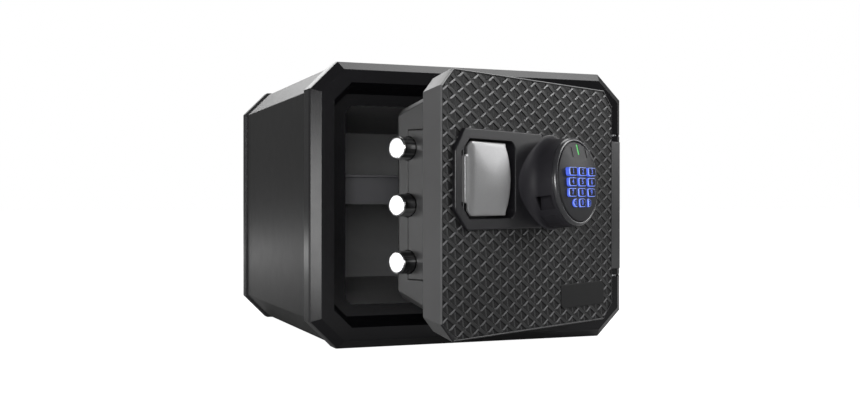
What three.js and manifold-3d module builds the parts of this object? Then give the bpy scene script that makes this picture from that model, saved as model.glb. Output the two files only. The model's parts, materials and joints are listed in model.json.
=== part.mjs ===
// Fire and water resistant security safe with its door open, millimetres, +Z up.
// Origin on the sole of the front collar, centre of the width; the door faces -Y.
import * as THREE from 'three';
import { mergeVertices } from 'three/addons/utils/BufferGeometryUtils.js';
import Module from 'manifold-3d';

const wasm = await Module();
wasm.setup();

// ---- driving dimensions -------------------------------------------------
const GAP = 0.3;
const HALF_WIDTH = 214;
const HEIGHT = 350;
const FRONT_Y = -27;
const COLLAR_REAR_Y = 15;
const LIP_REAR_Y = 18;
const SHELL_REAR_Y = 383;
const REAR_Y = 401;
const CORNER = 34;
const MID_Z = 175;

const HINGE = { x: 203, y: -15 };
const DOOR_OPEN_DEG = 28;
const LEAF = { s: 389, t: 29.5 };
const DOOR_W = 339.2;
const DOOR_Z0 = 29.4;
const DOOR_Z1 = 321.4;
const SLAB_T = 34.5;
const PLUG_T = 92.7;

const BOLT_R = 12.7;
const BOLT_PITCH = 63.5;
const BOLT_T = 76.6;
const BOLT_TIP_S = 13.3;

const POD = { s: 195.5, t: -41.5, z: 202.5, rx: 45.5, rz: 52, tilt: 4.5 };
const PIVOT = { s: 35, t: -1, z0: 167.6, z1: 239.6 };
const CRANK = 30.56;
const CRANK_Z = 199;
const BOLT_ZS = [MID_Z - BOLT_PITCH, MID_Z, MID_Z + BOLT_PITCH];

// ---- helpers ------------------------------------------------------------
function signedVolume(g) {
  const p = g.attributes.position;
  const a = new THREE.Vector3();
  const b = new THREE.Vector3();
  const c = new THREE.Vector3();
  let v = 0;
  for (let i = 0; i < p.count; i += 3) {
    a.fromBufferAttribute(p, i);
    b.fromBufferAttribute(p, i + 1);
    c.fromBufferAttribute(p, i + 2);
    v += a.dot(b.cross(c)) / 6;
  }
  return v;
}

// Non-indexed copy whose faces point outwards.
function outward(geometry) {
  const g = geometry.index ? geometry.toNonIndexed() : geometry;
  if (signedVolume(g) >= 0) return g;
  const p = g.attributes.position;
  for (let i = 0; i < p.count; i += 3) {
    const x = p.getX(i + 1);
    const y = p.getY(i + 1);
    const z = p.getZ(i + 1);
    p.setXYZ(i + 1, p.getX(i + 2), p.getY(i + 2), p.getZ(i + 2));
    p.setXYZ(i + 2, x, y, z);
  }
  return g;
}

function toManifold(geometry) {
  let g = outward(geometry).clone();
  for (const key of Object.keys(g.attributes)) {
    if (key !== 'position') g.deleteAttribute(key);
  }
  g = mergeVertices(g, 1e-4);
  return new wasm.Manifold(new wasm.Mesh({
    numProp: 3,
    vertProperties: new Float32Array(g.attributes.position.array),
    triVerts: new Uint32Array(g.index.array),
  }));
}

function toGeometry(manifold) {
  const m = manifold.getMesh();
  const g = new THREE.BufferGeometry();
  g.setAttribute('position', new THREE.BufferAttribute(new Float32Array(m.vertProperties), 3));
  g.setIndex(new THREE.BufferAttribute(new Uint32Array(m.triVerts), 1));
  g.computeVertexNormals();
  return g;
}

function join(first, ...rest) {
  let m = toManifold(first);
  for (const g of rest) m = m.add(toManifold(g));
  return toGeometry(m);
}

function cut(first, ...tools) {
  let m = toManifold(first);
  for (const g of tools) m = m.subtract(toManifold(g));
  return toGeometry(m);
}

function common(first, ...rest) {
  let m = toManifold(first);
  for (const g of rest) m = m.intersect(toManifold(g));
  return toGeometry(m);
}

function box(x0, x1, y0, y1, z0, z1) {
  const g = new THREE.BoxGeometry(x1 - x0, y1 - y0, z1 - z0);
  g.translate((x0 + x1) / 2, (y0 + y1) / 2, (z0 + z1) / 2);
  return g;
}

function rod(axis, r, from, to, a, b, segments = 20) {
  const g = new THREE.CylinderGeometry(r, r, to - from, segments);
  const mid = (from + to) / 2;
  if (axis === 'x') g.rotateZ(Math.PI / 2).translate(mid, a, b);
  if (axis === 'y') g.translate(a, mid, b);
  if (axis === 'z') g.rotateX(Math.PI / 2).translate(a, b, mid);
  return g;
}

// Eight-sided outline: a rectangle with its corners cut off at 45 degrees.
function octagon(x0, x1, z0, z1, c) {
  return [
    [x0 + c, z0], [x1 - c, z0], [x1, z0 + c], [x1, z1 - c],
    [x1 - c, z1], [x0 + c, z1], [x0, z1 - c], [x0, z0 + c],
  ];
}

// Rectangle with rounded corners; radii in order lower right, upper right, upper left, lower left.
function rounded(x0, x1, z0, z1, radii, segments = 4) {
  const r = Array.isArray(radii) ? radii : [radii, radii, radii, radii];
  const centres = [
    [x1 - r[0], z0 + r[0], -90, r[0]], [x1 - r[1], z1 - r[1], 0, r[1]],
    [x0 + r[2], z1 - r[2], 90, r[2]], [x0 + r[3], z0 + r[3], 180, r[3]],
  ];
  const pts = [];
  for (const [cx, cz, start, rr] of centres) {
    for (let i = 0; i <= segments; i += 1) {
      const a = THREE.MathUtils.degToRad(start + (90 * i) / segments);
      pts.push([cx + rr * Math.cos(a), cz + rr * Math.sin(a)]);
    }
  }
  return pts;
}

// Solid through a row of outlines with the same number of points.
// axis 'y': outlines lie in XZ; axis 'z': outlines lie in XY.
function loft(axis, ...rings) {
  const base = rings[0].pts;
  const shape = new THREE.Shape(base.map(([u, v]) => new THREE.Vector2(u, v)));
  const last = rings.length - 1;
  const g = new THREE.ExtrudeGeometry(shape, { depth: last, steps: last, bevelEnabled: false });
  const p = g.attributes.position;
  for (let i = 0; i < p.count; i += 1) {
    let best = 0;
    let bestD = Infinity;
    base.forEach(([u, v], j) => {
      const d = Math.hypot(u - p.getX(i), v - p.getY(i));
      if (d < bestD) {
        bestD = d;
        best = j;
      }
    });
    const ring = rings[Math.round(p.getZ(i))];
    const [u, v] = ring.pts[best];
    if (axis === 'y') p.setXYZ(i, u, ring.at, v);
    else p.setXYZ(i, u, v, ring.at);
  }
  return outward(g);
}

function ring(at, pts) {
  return { at, pts };
}

function plate(axis, from, to, pts) {
  return loft(axis, ring(from, pts), ring(to, pts));
}

// Elliptical disc or tube about the pod's local Y axis.
function ovalDisc(r, y0, y1, segments = 40) {
  const g = new THREE.CylinderGeometry(r, r, y1 - y0, segments);
  g.translate(0, (y0 + y1) / 2, 0);
  return g.scale(POD.rx / POD.rz, 1, 1);
}

function ovalLathe(profile, segments = 40) {
  const g = new THREE.LatheGeometry(profile.map(([r, y]) => new THREE.Vector2(r, y)), segments);
  return g.scale(POD.rx / POD.rz, 1, 1);
}

function finish(color, roughness, metalness) {
  return new THREE.MeshStandardMaterial({ color, roughness, metalness });
}

const looks = {
  caseDark: finish(0x1b1a1f, 0.38, 0.1),
  caseGrey: finish(0x3a3a40, 0.42, 0.1),
  panel: finish(0x2c2c2e, 0.45, 0.1),
  shell: finish(0x4c4c4d, 0.6, 0.05),
  console: finish(0x2b2a2e, 0.45, 0.05),
  paddle: finish(0xa6a6a8, 0.42, 0.6),
  chrome: finish(0xd4d6da, 0.12, 1.0),
  steel: finish(0x8d9095, 0.35, 0.9),
  liner: finish(0x2a2a2c, 0.65, 0.0),
  tray: finish(0x3c3c40, 0.6, 0.0),
  rubber: finish(0x151516, 0.85, 0.0),
  insulation: finish(0xb9b4a8, 0.95, 0.0),
  key: finish(0x2c4fd0, 0.4, 0.0),
  board: finish(0x1f5a34, 0.6, 0.0),
  green: finish(0x39d04a, 0.3, 0.0),
  lens: finish(0x1a1a1d, 0.25, 0.0),
  cell: finish(0x6f7680, 0.4, 0.5),
};

function piece(parent, name, geometry, material) {
  const mesh = new THREE.Mesh(geometry, material);
  mesh.name = name;
  parent.add(mesh);
  return mesh;
}

const safe = new THREE.Group();

// ---- case ---------------------------------------------------------------
function caseOutline(inset, corner) {
  return octagon(-HALF_WIDTH + inset, HALF_WIDTH - inset, inset, HEIGHT - inset, corner);
}

function frontFrame() {
  const collar = loft('y',
    ring(FRONT_Y, caseOutline(11, 28)),
    ring(-14.5, caseOutline(0.8, 33.6)),
    ring(-8, caseOutline(0, CORNER)),
    ring(COLLAR_REAR_Y, caseOutline(0, CORNER)));
  const spigot = plate('y', COLLAR_REAR_Y - 1, LIP_REAR_Y, caseOutline(6, 31));
  const recess = loft('y',
    ring(FRONT_Y - 1, octagon(-187.3, 160.3, 26.7, 323.8, 22.2)),
    ring(8, octagon(-177.5, 150, 37, 313, 16)));
  const throat = plate('y', 7, LIP_REAR_Y + 1, rounded(-163, 150, 51, 299, 13));
  const notch = box(150, HALF_WIDTH + 1, FRONT_Y - 1, 1, 90.7, 259.3);
  const lowerSlot = box(191, HALF_WIDTH + 1, FRONT_Y - 1, -13, 80.5, 83);
  const upperSlot = box(191, HALF_WIDTH + 1, FRONT_Y - 1, -13, 267, 269.5);
  const lowerHole = rod('z', 4.3, 65.5, 92, HINGE.x, HINGE.y, 16);
  const upperHole = rod('z', 4.3, 258, 284.5, HINGE.x, HINGE.y, 16);
  return cut(join(collar, spigot), recess, throat, notch, lowerSlot, upperSlot, lowerHole, upperHole);
}

function linerLoft(grow, y0, y1) {
  const at = (y) => 11 * (y - LIP_REAR_Y) / (350 - LIP_REAR_Y);
  const outline = (y) => rounded(-163 - grow + at(y), 163 + grow - at(y),
    51 - grow + at(y), 299 + grow - at(y), 13 + grow);
  return loft('y', ring(y0, outline(y0)), ring(y1, outline(y1)));
}

function strikePockets(x0, y0, y1, half) {
  return BOLT_ZS.map((z) => box(x0, -160, y0, y1, z - half, z + half));
}

function trayRail(side) {
  const pts = [[side * 164, 43], [side * 155.2, 43], [side * 146.6, 303], [side * 155.4, 303]];
  return plate('z', 203.5, 210.5, side < 0 ? pts : [...pts].reverse());
}

function innerLiner() {
  const outer = join(linerLoft(2.5, LIP_REAR_Y + GAP, 352.5), ...strikePockets(-178.2, 18.3, 49.2, 17.2));
  const hollow = cut(outer, linerLoft(0, LIP_REAR_Y - 1, 350), ...strikePockets(-176, 17, 47, 15));
  return join(hollow, trayRail(-1), trayRail(1));
}

piece(safe, 'front_frame', frontFrame(), looks.caseDark);
piece(safe, 'case_shell', cut(
  plate('y', COLLAR_REAR_Y + GAP, SHELL_REAR_Y - GAP, caseOutline(3, 32.8)),
  plate('y', COLLAR_REAR_Y - 1, SHELL_REAR_Y + 1, caseOutline(5, 31.9)),
), looks.caseGrey);
piece(safe, 'rear_cover', cut(
  plate('y', SHELL_REAR_Y, REAR_Y, caseOutline(0, CORNER)),
  plate('y', REAR_Y - 2, REAR_Y + 1, caseOutline(34, 20)),
), looks.caseDark);
piece(safe, 'inner_liner', innerLiner(), looks.liner);
piece(safe, 'case_insulation', cut(
  plate('y', LIP_REAR_Y + GAP, SHELL_REAR_Y - GAP, caseOutline(5.3, 31.8)),
  linerLoft(2.8, LIP_REAR_Y - 1, 352.8),
  ...strikePockets(-178.5, 17, 49.5, 17.5),
), looks.insulation);
piece(safe, 'hinge_pin_lower', rod('z', 4, 66, 108, HINGE.x, HINGE.y, 16), looks.steel);
piece(safe, 'hinge_pin_upper', rod('z', 4, 242, 284, HINGE.x, HINGE.y, 16), looks.steel);

// ---- tray ---------------------------------------------------------------
function trayOutline(front, rear, y0, y1) {
  return [[-front, y0], [front, y0], [rear, y1], [-rear, y1]];
}

function trayBody() {
  const rim = plate('z', 211, 214, trayOutline(160.4, 152.5, 53, 293));
  const pan = loft('z',
    ring(176, trayOutline(150, 142.5, 61, 285)),
    ring(212, trayOutline(153.4, 145.6, 57.4, 288.6)));
  const hollow = loft('z',
    ring(178.6, trayOutline(147.4, 140, 63.6, 282.4)),
    ring(215, trayOutline(150.9, 143.2, 60, 286)));
  return cut(join(rim, pan), hollow);
}

const tray = new THREE.Group();
safe.add(tray);
piece(tray, 'tray', trayBody(), looks.tray);

// ---- door ---------------------------------------------------------------
const door = new THREE.Group();
door.position.set(HINGE.x, HINGE.y, 0);
door.rotation.z = THREE.MathUtils.degToRad(DOOR_OPEN_DEG);
safe.add(door);

// Leaf frame: s from the free edge, t back from the face, z up.
const leaf = new THREE.Group();
leaf.position.set(-LEAF.s, -LEAF.t, 0);
door.add(leaf);

function leafOutline(inset, corner) {
  return octagon(inset, DOOR_W - inset, DOOR_Z0 + inset, DOOR_Z1 - inset, corner);
}

function consoleOutline(grow) {
  const g = grow;
  return [
    [38.8 - g * 0.5, 148 - g], [186, 148 - g], [186, 258.6 + g], [35 - g * 0.5, 258.6 + g],
    [18.4 - g, 234.2 + g * 0.5], [18.4 - g, 169.6 - g * 0.5],
  ];
}

function consoleFlange(grow, t0, t1) {
  const g = new THREE.CylinderGeometry(1, 1, t1 - t0, 48);
  g.scale(POD.rx + 2.6 + grow, 1, POD.rz + 3 + grow);
  return g.translate(POD.s, (t0 + t1) / 2, POD.z - 0.6);
}

function consoleBlank(grow, t0, t1) {
  return join(plate('y', t0, t1, consoleOutline(grow)), consoleFlange(grow, t0, t1));
}

// Handle well: its left corners are cut at 45 degrees, its right corners rounded.
function wellOutline(g) {
  const pts = [[43 - g * 0.4, 160.6 - g], [29.3 - g, 175 - g * 0.4], [29.3 - g, 232 + g * 0.4],
    [43 - g * 0.4, 246.5 + g]];
  const arc = rounded(43, 125 + g, 160.6 - g, 246.5 + g, [10 + g, 10 + g, 1, 1], 4).slice(0, 10);
  return [...pts.reverse(), ...arc].reverse();
}

function namePlate(g) {
  return [[226 - g, 50 - g], [318 + g, 50 - g], [318 + g, 74], [313, 79 + g], [222 - g, 79 + g], [222 - g, 54]];
}

function doorShell() {
  const outer = loft('y',
    ring(0, leafOutline(1.3, 19.5)),
    ring(1.5, leafOutline(0, 20)),
    ring(SLAB_T, leafOutline(9, 16)));
  const skinPocket = plate('y', -1, 2.3, leafOutline(5, 17.6));
  const cavity = loft('y', ring(5, leafOutline(5.6, 17)), ring(SLAB_T + 1, leafOutline(12, 14)));
  return cut(outer, skinPocket, cavity, plate('y', 1, 7, wellOutline(2.2)));
}

function doorPanel() {
  return cut(plate('y', 0, 2, leafOutline(5.3, 17.4)),
    consoleBlank(0.3, -1, 3),
    plate('y', -1, 3, namePlate(0.3)));
}

function doorConsole() {
  const cup = plate('y', -3, 24, wellOutline(1.8));
  const well = plate('y', -6, 22, wellOutline(0));
  const crankSlot = box(30, 62, 20, 26, CRANK_Z - 13, CRANK_Z + 13);
  const pinHole = rod('z', 1.8, PIVOT.z0 - GAP, PIVOT.z1 + GAP, PIVOT.s, PIVOT.t, 12);
  return cut(join(consoleBlank(0, -4, 2), cup), well, crankSlot, pinHole);
}

const bolts3 = (r, s0, s1, segments) => BOLT_ZS.map((z) => rod('x', r, s0, s1, BOLT_T, z, segments));

function doorPlug() {
  const outer = loft('y',
    ring(SLAB_T + GAP, octagon(31, 321, 50.5, 301.5, 6)),
    ring(91.2, octagon(32, 320, 70.5, 283.5, 8)),
    ring(PLUG_T, octagon(33.5, 318.5, 72, 282, 7.4)));
  const hollow = loft('y',
    ring(SLAB_T - 1, octagon(34.5, 317.5, 54.5, 298, 5.4)),
    ring(90.2, octagon(34.5, 317.5, 74.4, 279.8, 7)));
  const coverOpening = box(25, 36, SLAB_T - 1, BOLT_T, 92, 259);
  return cut(outer, hollow, coverOpening, ...bolts3(BOLT_R + 0.5, 25, 40, 24));
}

function boltCover() {
  const blank = plate('z', 92.3, 258.7, [[31.2, 35.1], [34.4, 35.1], [34.4, 76.3], [31.8, 76.3]]);
  return cut(blank, ...bolts3(BOLT_R + 0.5, 25, 40, 24));
}

const chamber = () => box(34, 102, SLAB_T - 1, 91, 88, 262);

piece(leaf, 'door_shell', doorShell(), looks.shell);
piece(leaf, 'door_panel', doorPanel(), looks.panel);
piece(leaf, 'door_core', cut(
  loft('y', ring(5.3, leafOutline(6, 16.9)), ring(SLAB_T, leafOutline(12.3, 13.9))),
  plate('y', 4, 24.4, wellOutline(2.4)),
  box(29, 66, 22, 36, 178, 220),
), looks.insulation);
piece(leaf, 'door_plug', doorPlug(), looks.shell);
piece(leaf, 'plug_core', cut(
  loft('y',
    ring(SLAB_T + 0.6, octagon(34.8, 317.2, 55.3, 297.2, 5.6)),
    ring(89.9, octagon(34.8, 317.2, 75, 279.2, 7))),
  chamber(),
  box(76, 101.5, 63, 91, 62, 90),
), looks.insulation);
piece(leaf, 'bolt_cover', boltCover(), looks.shell);
piece(leaf, 'door_gasket', cut(
  plate('y', SLAB_T + GAP, 38, octagon(25.5, 326, 45, 307, 9)),
  plate('y', SLAB_T - 1, 39, octagon(30.6, 321.4, 50.1, 301.9, 6.2)),
), looks.rubber);
piece(leaf, 'console', doorConsole(), looks.console);
piece(leaf, 'nameplate', plate('y', -0.6, 2, namePlate(0)), looks.lens);

function hingeBar() {
  const arm = plate('z', 91, 259, [[335.2, 18.5], [LEAF.s, 18.5], [LEAF.s, 29.5], [332.2, 29.5]]);
  const barrel = rod('z', 8.8, 91, 259, LEAF.s, LEAF.t, 32);
  const lower = rod('z', 4.3, 90, 108.5, LEAF.s, LEAF.t, 16);
  const upper = rod('z', 4.3, 241.5, 260, LEAF.s, LEAF.t, 16);
  return cut(join(arm, barrel), lower, upper);
}

piece(leaf, 'hinge_bar', hingeBar(), looks.caseGrey);
piece(leaf, 'pry_bar', box(320.8, 343, 74, 85, 95, 255), looks.steel);
for (const [i, [s, z]] of [[48, 78], [304, 78], [304, 272], [48, 272]].entries()) {
  const head = new THREE.CylinderGeometry(4.2, 3.4, 1.6, 16);
  head.rotateX(Math.PI);
  head.translate(s, PLUG_T + GAP + 0.8, z);
  piece(leaf, `plug_screw_${i + 1}`, head, looks.steel);
}
piece(leaf, 'solenoid_body', cut(
  box(78, 98, 66, 87, 75.6, 87.5),
  rod('z', 3.4, 77, 89, 87.2, BOLT_T, 16),
), looks.steel);
piece(leaf, 'paddle_pin', rod('z', 1.5, PIVOT.z0, PIVOT.z1, PIVOT.s, PIVOT.t, 12), looks.steel);

// ---- bolt work ----------------------------------------------------------
const boltWork = new THREE.Group();
leaf.add(boltWork);
piece(boltWork, 'bolt_bar', join(
  box(75, 83, 68, 85, 96, 254),
  box(38.9, 83, 36, 40, 192, 206),
  box(75, 83, 36, 70, 192, 206),
  box(38.9, 42.9, 26.5, 40, 192, 206),
), looks.steel);
const boltNames = ['bolt_lower', 'bolt_middle', 'bolt_upper'];
BOLT_ZS.forEach((z, i) => {
  const profile = [
    [0, 0], [BOLT_R - 1.2, 0], [BOLT_R, 1.2], [BOLT_R, 61.4], [0, 61.4],
  ].map(([r, y]) => new THREE.Vector2(r, y));
  const g = new THREE.LatheGeometry(profile, 28);
  g.rotateZ(-Math.PI / 2);
  g.translate(BOLT_TIP_S, BOLT_T, z);
  piece(boltWork, boltNames[i], g, looks.chrome);
});

// ---- handle -------------------------------------------------------------
function paddleOutline() {
  const pts = [[37, 169], [43, 163], [102.8, 163.2]];
  for (let i = 0; i <= 8; i += 1) {
    const a = (i / 8) * 2 - 1;
    pts.push([111.3 - 8.5 * a * a, 203.6 + a * 37]);
  }
  pts.push([102.8, 244], [43, 244.2], [37, 238.2], [37, 229.6], [32.4, 229.6], [32.4, 177], [37, 177]);
  return pts;
}

function paddle() {
  const front = plate('y', -7, -3, paddleOutline());
  const knuckle = rod('z', 3.4, 178.5, 228, PIVOT.s, PIVOT.t, 16);
  const arm = box(33, 37, PIVOT.t, PIVOT.t + CRANK - 1, CRANK_Z - 5, CRANK_Z + 5);
  const tip = rod('z', 3, CRANK_Z - 6, CRANK_Z + 6, PIVOT.s, PIVOT.t + CRANK, 16);
  return cut(join(front, knuckle, arm, tip), rod('z', 1.8, 160, 250, PIVOT.s, PIVOT.t, 12));
}

const handle = new THREE.Group();
leaf.add(handle);
piece(handle, 'handle_paddle', paddle(), looks.paddle);

// ---- lock solenoid ------------------------------------------------------
const plunger = new THREE.Group();
leaf.add(plunger);
piece(plunger, 'solenoid_plunger', rod('z', 3, 78, 94.5, 87.2, BOLT_T, 16), looks.steel);

// ---- keypad pod ---------------------------------------------------------
// Pod frame: X along the face, Y straight out of the keypad, Z down the keypad.
const pod = new THREE.Group();
pod.position.set(POD.s, POD.t, POD.z);
pod.rotation.x = Math.PI - THREE.MathUtils.degToRad(POD.tilt);
leaf.add(pod);

const KEY_PITCH_X = 19.6;
const LAST_PITCH_X = 15;
const KEY_PITCH_Z = 12;
const KEY_ROW_Z = -10.8;
const KEY_TOPS = [8, 6.7, 5.5, 4.9];
const FACET_Z = -23.5;
const FACET_DEG = 11;
const DOME = 4.5;
const SLIT_XS = [-14.5, 0, 14.5];
const slitTop = (x) => -43.5 + Math.abs(x) * 0.24;

// Everything on the console side of the pod, down to the console's front face.
function belowConsole(gap) {
  const g = box(-90, 90, -60, 0, -90, 90);
  g.rotateX(THREE.MathUtils.degToRad(POD.tilt));
  const drop = (-4 - gap - POD.t) / Math.cos(THREE.MathUtils.degToRad(POD.tilt));
  return g.translate(0, -drop, 0);
}

function aboveFacet(lift) {
  const g = box(-80, 80, 0, 40, -80, 0);
  g.rotateX(THREE.MathUtils.degToRad(-FACET_DEG));
  return g.translate(0, 3.6 + lift, FACET_Z);
}

const keyNames = [['1', '2', '3'], ['4', '5', '6'], ['7', '8', '9'], ['left', '0', 'right']];

function keyOutline(row, col, grow) {
  const x = (col - 1) * (row === 3 ? LAST_PITCH_X : KEY_PITCH_X);
  const z = KEY_ROW_Z + row * KEY_PITCH_Z;
  if (row === 3 && col !== 1) {
    const side = col - 1;
    const pts = [];
    for (let i = 0; i <= 10; i += 1) {
      const a = THREE.MathUtils.degToRad(-90 + 18 * i);
      pts.push([x + side * (-2.4 + (6 + grow) * Math.cos(a)), z + (4.9 + grow) * Math.sin(a)]);
    }
    pts.push([x - side * (3.4 + grow), z + 4.9 + grow], [x - side * (3.4 + grow), z - 4.9 - grow]);
    return side > 0 ? pts : pts.reverse();
  }
  const w = (row === 3 ? 6.2 : 7.7) + grow;
  return rounded(x - w, x + w, z - 4.9 - grow, z + 4.9 + grow, 2.4 + grow, 3);
}

function podHousing() {
  const wall = ovalLathe([[49.2, -60], [52, -60], [52, -6], [49.2, -6], [49.2, -60]], 48);
  const sideNotch = box(-60, -36, -37, -9, 15.5, 31);
  const drawerSlot = box(-30.8, 30.8, -33.5, -13, 20, 60);
  return cut(wall, belowConsole(GAP), sideNotch, drawerSlot);
}

function fascia() {
  const dome = [];
  for (let i = 0; i <= 5; i += 1) {
    const r = 46.6 * (1 - i / 5);
    dome.push([r, DOME * (1 - (r / 52) ** 2)]);
  }
  const body = ovalLathe([[0, -9], [46.6, -9], ...dome], 48);
  const pocket = plate('y', -10, -2.4, rounded(-34, 34, -20.5, 33, 6, 3));
  const holes = [];
  keyNames.forEach((names, row) => names.forEach((n, col) => {
    holes.push(plate('y', -5, 10, keyOutline(row, col, 0.4)));
  }));
  const slits = SLIT_XS.map((x) => box(x - 1.3, x + 1.3, -12, 10, slitTop(x), slitTop(x) + 12.6));
  return cut(body, aboveFacet(0), pocket, ...holes, ...slits);
}

function ledLens(x) {
  return cut(box(x - 1, x + 1, -8.8, 6, slitTop(x) + GAP, slitTop(x) + 12.3), aboveFacet(0.2));
}

piece(pod, 'pod_housing', podHousing(), looks.console);
piece(pod, 'bezel_ring', ovalLathe([
  [46.9, -5.7], [52, -5.7], [51.7, -3.2], [50.5, -0.9], [48.6, 0.3], [46.9, 0], [46.9, -5.7],
], 48), looks.caseGrey);
piece(pod, 'keypad_fascia', fascia(), looks.console);
['led_lens_left', 'led_lens_centre', 'led_lens_right'].forEach((name, i) => {
  piece(pod, name, ledLens(SLIT_XS[i]), i === 1 ? looks.green : looks.lens);
});
piece(pod, 'circuit_board', ovalDisc(48, -12, -10.4), looks.board);

keyNames.forEach((names, row) => names.forEach((n, col) => {
  const cap = plate('y', -5.2, KEY_TOPS[row], keyOutline(row, col, 0));
  const flange = plate('y', -7.4, -4.6, keyOutline(row, col, 0.9));
  const keyGroup = new THREE.Group();
  pod.add(keyGroup);
  piece(keyGroup, `key_${n}`, join(cap, flange), looks.key);
}));

// ---- battery drawer -----------------------------------------------------
const drawer = new THREE.Group();
pod.add(drawer);

function batteryDrawer() {
  const blank = common(box(-30.3, 30.3, -33, -13.5, -26, 53), ovalDisc(52, -40, -10, 48));
  return cut(blank, box(-29.3, 29.3, -31.6, -12, -24.8, 26.4));
}

piece(drawer, 'battery_drawer', batteryDrawer(), looks.console);
for (let i = 0; i < 4; i += 1) {
  const x = (i - 1.5) * 14.6;
  piece(drawer, `battery_cell_${i + 1}`, rod('z', 7.1, -24.4, 26, x, -23.7, 16), looks.cell);
}

export default safe;
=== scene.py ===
"""Looks for the open security safe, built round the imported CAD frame.

The scene is in metres. Shapes are drawn in millimetres in one of two local frames:
LEAF, the door's: s along the door from its free edge, t inwards from its front face, z up.
POD, the tilted keypad's: x along its face, y outwards, z downwards, from the bezel's centre.
"""
import json
import math

import bmesh
import bpy
from mathutils import Matrix, Vector


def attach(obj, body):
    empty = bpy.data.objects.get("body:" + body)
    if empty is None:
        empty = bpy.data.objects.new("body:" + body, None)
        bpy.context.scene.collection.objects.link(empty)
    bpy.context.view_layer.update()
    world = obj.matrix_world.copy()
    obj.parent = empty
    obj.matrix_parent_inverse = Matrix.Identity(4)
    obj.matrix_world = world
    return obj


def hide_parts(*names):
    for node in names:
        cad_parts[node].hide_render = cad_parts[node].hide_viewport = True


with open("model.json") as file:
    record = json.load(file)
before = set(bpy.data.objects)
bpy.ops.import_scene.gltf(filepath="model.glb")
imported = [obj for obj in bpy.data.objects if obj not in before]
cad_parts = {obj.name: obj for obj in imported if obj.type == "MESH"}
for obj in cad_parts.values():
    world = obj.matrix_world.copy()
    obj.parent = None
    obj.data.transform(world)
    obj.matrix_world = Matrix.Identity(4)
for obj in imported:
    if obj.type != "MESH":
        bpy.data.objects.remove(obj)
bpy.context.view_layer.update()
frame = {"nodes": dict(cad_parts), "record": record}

# ---- local frames, from the record's joints and the CAD's own boxes ------
MM = 0.001
JOINTS = {joint["name"]: joint for joint in frame["record"]["behaviour"]["joints"]}
HINGE = Vector(JOINTS["door_hinge"]["pos_m"])

# The hinge's axis in LEAF.
HINGE_S, HINGE_T = 389.0, 29.5
BOLT_AXIS = JOINTS["bolt_slide"]["axis"]
OPEN = math.atan2(BOLT_AXIS[1], BOLT_AXIS[0])
LEAF = (Matrix.Translation((HINGE.x, HINGE.y, 0)) @ Matrix.Rotation(OPEN, 4, "Z")
        @ Matrix.Scale(MM, 4) @ Matrix.Translation((-HINGE_S, -HINGE_T, 0)))

# The bezel's centre in LEAF, and how far the keypad leans.
POD_S, POD_T, POD_Z = 195.5, -41.5, 202.5
TILT = math.radians(4.5)
POD = LEAF @ Matrix.Translation((POD_S, POD_T, POD_Z)) @ Matrix.Rotation(math.pi - TILT, 4, "X")


def local_box(node, place):
    """Lowest and highest corner of a CAD node in a local frame, to 0.01 mm."""
    back = place.inverted()
    points = [back @ vertex.co for vertex in frame["nodes"][node].data.vertices]
    return [[round(pick(p[k] for p in points), 2) for k in range(3)] for pick in (min, max)]


(_, _, DOOR_Z0), (DOOR_W, _, DOOR_Z1) = local_box("door_shell", LEAF)
(PLATE_S0, _, PLATE_Z0), (PLATE_S1, _, PLATE_Z1) = local_box("nameplate", LEAF)
POD_RX, _, POD_RZ = local_box("bezel_ring", POD)[1]


# ---- materials -----------------------------------------------------------
def srgb(*rgb):
    """Screen colour to the linear colour that shaders take."""
    return tuple(c / 12.92 if c <= 0.04045 else ((c + 0.055) / 1.055) ** 2.4 for c in rgb) + (1.0,)


def scaled(colour, factor):
    return tuple(min(1, c * factor) for c in colour[:3]) + (1,)


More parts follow.
